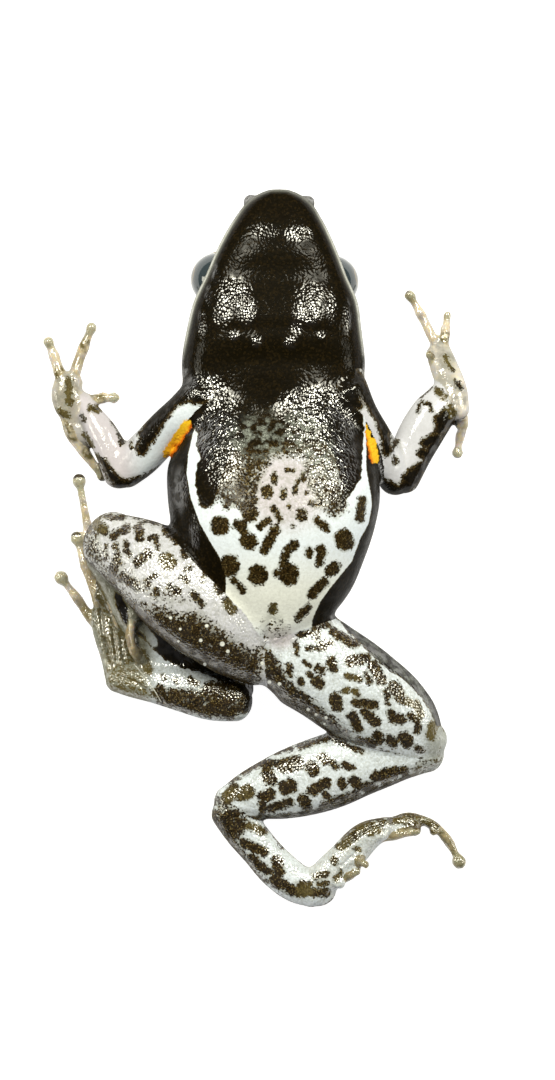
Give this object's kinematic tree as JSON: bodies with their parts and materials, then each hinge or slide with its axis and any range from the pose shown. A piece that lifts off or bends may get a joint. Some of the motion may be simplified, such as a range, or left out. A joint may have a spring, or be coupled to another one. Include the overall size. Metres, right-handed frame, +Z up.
{
  "type": "poison dart frog",
  "caption": "Life-size poison dart frog lying belly up: dark throat, pale spotted belly, arms spread, a hind leg folded and the other half stretched. Still display model.",
  "frame": {"origin": "point on the floor under the middle of the back, where the back rests", "axes": "+Y towards the snout, along the body; +Z up from the floor, the way the belly faces; +X towards the frog's left side"},
  "size_m": [0.0256, 0.0431, 0.0086],
  "materials": {
    "dark_skin": "moist, finely granular, glossy",
    "belly_skin": "moist, bluish white with dark brown spots",
    "limb_skin": "moist, pale with dark brown spots",
    "digit_skin": "moist, thin, olive and cream",
    "eye": "wet, very glossy"
  },
  "bodies": {
    "root": {"head": "dark_skin", "torso": "belly_skin", "eye_right": "eye", "eye_left": "eye", "upper_arm_right": "limb_skin", "forearm_right": "limb_skin", "hand_right": "digit_skin", "upper_arm_left": "limb_skin", "forearm_left": "limb_skin", "hand_left": "digit_skin", "thigh_right": "limb_skin", "shank_right": "limb_skin", "tarsus_right": "limb_skin", "foot_right": "digit_skin", "thigh_left": "limb_skin", "shank_left": "limb_skin", "tarsus_left": "limb_skin", "foot_left": "digit_skin"}
  },
  "joints": []
}
